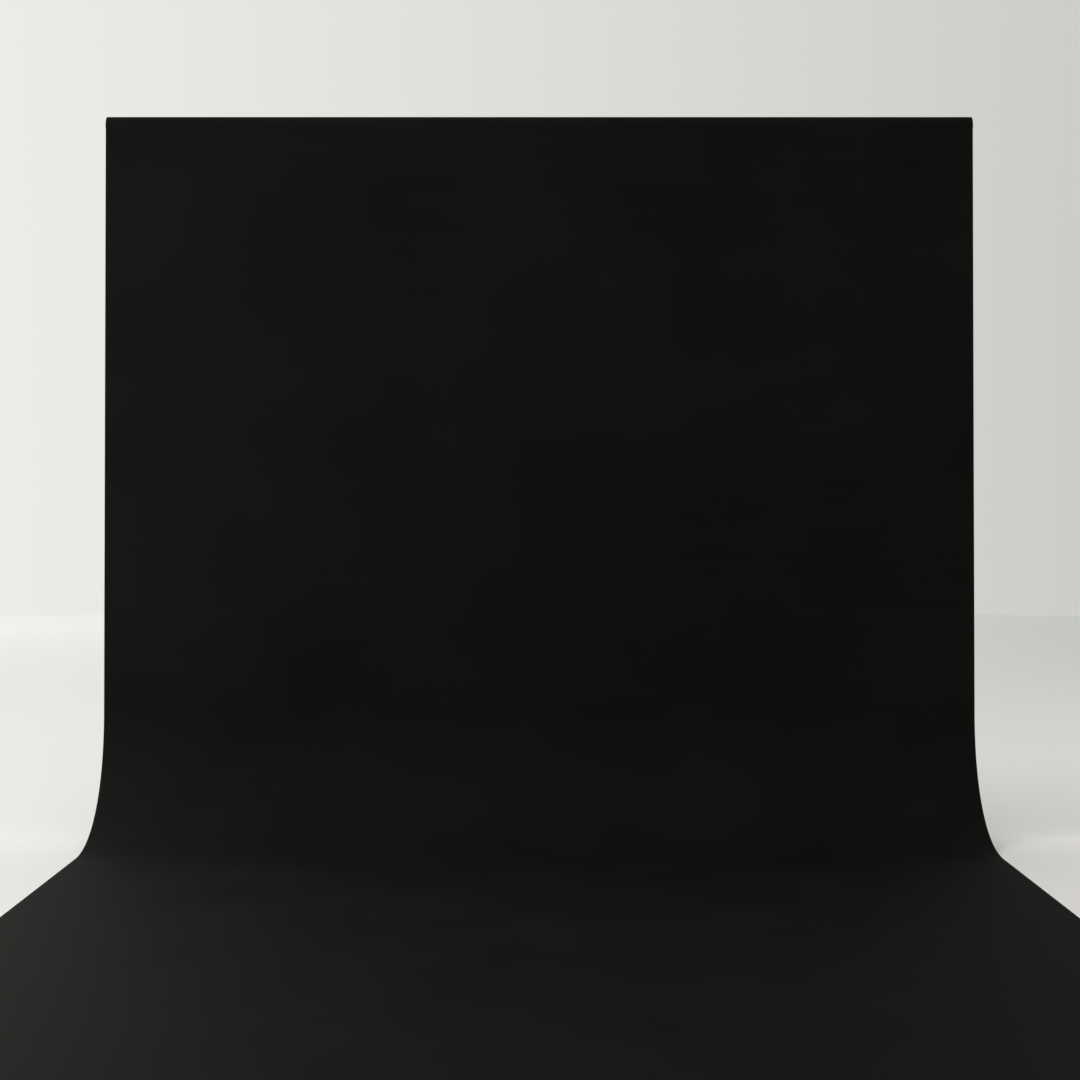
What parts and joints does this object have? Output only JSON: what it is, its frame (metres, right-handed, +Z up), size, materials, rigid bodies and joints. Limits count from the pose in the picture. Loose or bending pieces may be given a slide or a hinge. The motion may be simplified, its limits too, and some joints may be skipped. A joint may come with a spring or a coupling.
{
  "type": "backdrop paper roll",
  "caption": "Seamless black backdrop paper on a cardboard core, held by two wall arms with hook plates, hanging straight and curving on to the floor.",
  "frame": {"origin": "on the floor, under the middle of the whole assembly's box; the roll's axis is 1.2915 m towards the wall from it and 2.2275 m up", "axes": "+X along the roll, +Y towards the wall, +Z up; the paper hangs on the -Y side of the roll and runs along the floor towards -Y"},
  "size_m": [2.7318, 3.317, 2.2725],
  "materials": {
    "black_paper": "matt, faint fibre",
    "cardboard": "matt, spiral wound",
    "black_nylon": "moulded, fine grain",
    "sleeve_rubber": "matt",
    "zinc_steel": "zinc plated",
    "dark_steel": "black oxide",
    "bush_nylon": "natural nylon",
    "black_powder_coat": "satin powder coat",
    "black_plastic": "moulded",
    "pad_rubber": "matt",
    "spring_steel": "bright wire"
  },
  "bodies": {
    "support": {"hanging_web": "black_paper", "sweep_web": "black_paper", "left_axle": "zinc_steel", "left_retainer": "dark_steel", "left_end_plate": "black_powder_coat", "left_plate_screws": "dark_steel", "left_arm": "black_powder_coat", "left_arm_cap": "black_plastic", "left_brake_pin": "zinc_steel", "right_axle": "zinc_steel", "right_retainer": "dark_steel", "right_end_plate": "black_powder_coat", "right_plate_screws": "dark_steel", "right_arm": "black_powder_coat", "right_arm_cap": "black_plastic", "right_brake_pin": "zinc_steel"},
    "roll": {"core_tube": "cardboard", "wound_paper": "black_paper", "left_hub": "black_nylon", "left_sleeve": "sleeve_rubber", "left_clamp_ring": "zinc_steel", "left_clamp_screws": "dark_steel", "left_bushes": "bush_nylon", "right_hub": "black_nylon", "right_sleeve": "sleeve_rubber", "right_clamp_ring": "zinc_steel", "right_clamp_screws": "dark_steel", "right_bushes": "bush_nylon"},
    "floor_sheet": {"floor_web": "black_paper"},
    "left_brake": {"left_brake_lever": "black_powder_coat", "left_brake_pad": "pad_rubber", "left_brake_spring": "spring_steel"},
    "right_brake": {"right_brake_lever": "black_powder_coat", "right_brake_pad": "pad_rubber", "right_brake_spring": "spring_steel"}
  },
  "joints": [
    {"name": "roll_spin", "type": "hinge", "parent": "support", "child": "roll", "pos_m": [0, 1.2915, 2.2275], "axis": [1, 0, 0], "range_deg": [-360, 1440]},
    {"name": "sheet_feed", "type": "slide", "parent": "support", "child": "floor_sheet", "axis": [0, -1, 0], "range_m": [-0.196, 0.781]},
    {"name": "left_brake_pivot", "type": "hinge", "parent": "support", "child": "left_brake", "pos_m": [-1.345, 1.3435, 2.1875], "axis": [1, 0, 0], "range_deg": [0, 12], "stiffness_Nm_per_rad": 0.1, "springref_deg": -20.05},
    {"name": "right_brake_pivot", "type": "hinge", "parent": "support", "child": "right_brake", "pos_m": [1.345, 1.3435, 2.1875], "axis": [1, 0, 0], "range_deg": [0, 12], "stiffness_Nm_per_rad": 0.1, "springref_deg": -20.05}
  ],
  "couplings": [
    {"joint": "sheet_feed", "follows": "roll_spin", "m_per_rad": 0.031}
  ]
}
